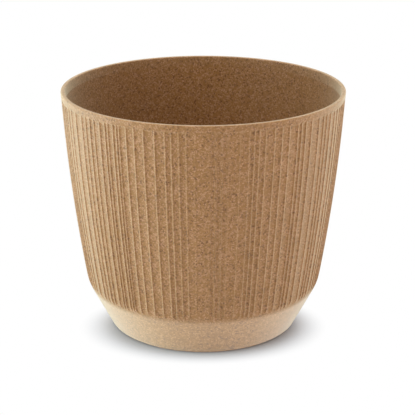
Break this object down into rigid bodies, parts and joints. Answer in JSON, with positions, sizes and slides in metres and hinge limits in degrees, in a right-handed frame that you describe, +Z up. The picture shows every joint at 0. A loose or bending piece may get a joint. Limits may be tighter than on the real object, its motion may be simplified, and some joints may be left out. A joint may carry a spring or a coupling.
{
  "type": "plant pot",
  "caption": "Round tapered plant pot with irregular vertical flutes, a plain base cone, an open top and a lift-out plug in its drain hole.",
  "frame": {"origin": "middle of the circle that the foot ring stands on", "axes": "+Z up along the pot's round axis, towards the open rim; -Y is the side that the picture shows"},
  "size_m": [0.19, 0.19, 0.165],
  "materials": {
    "wood_composite": "matt moulded wood-plastic composite with fine light and dark wood flecks",
    "plug_rubber": "matt brown rubber"
  },
  "bodies": {
    "pot": {"pot_shell": "wood_composite"},
    "plug": {"drain_plug": "plug_rubber"}
  },
  "joints": [
    {"name": "plug_lift", "type": "slide", "parent": "pot", "child": "plug", "axis": [0, 0, 1], "range_m": [0, 0.03]}
  ]
}
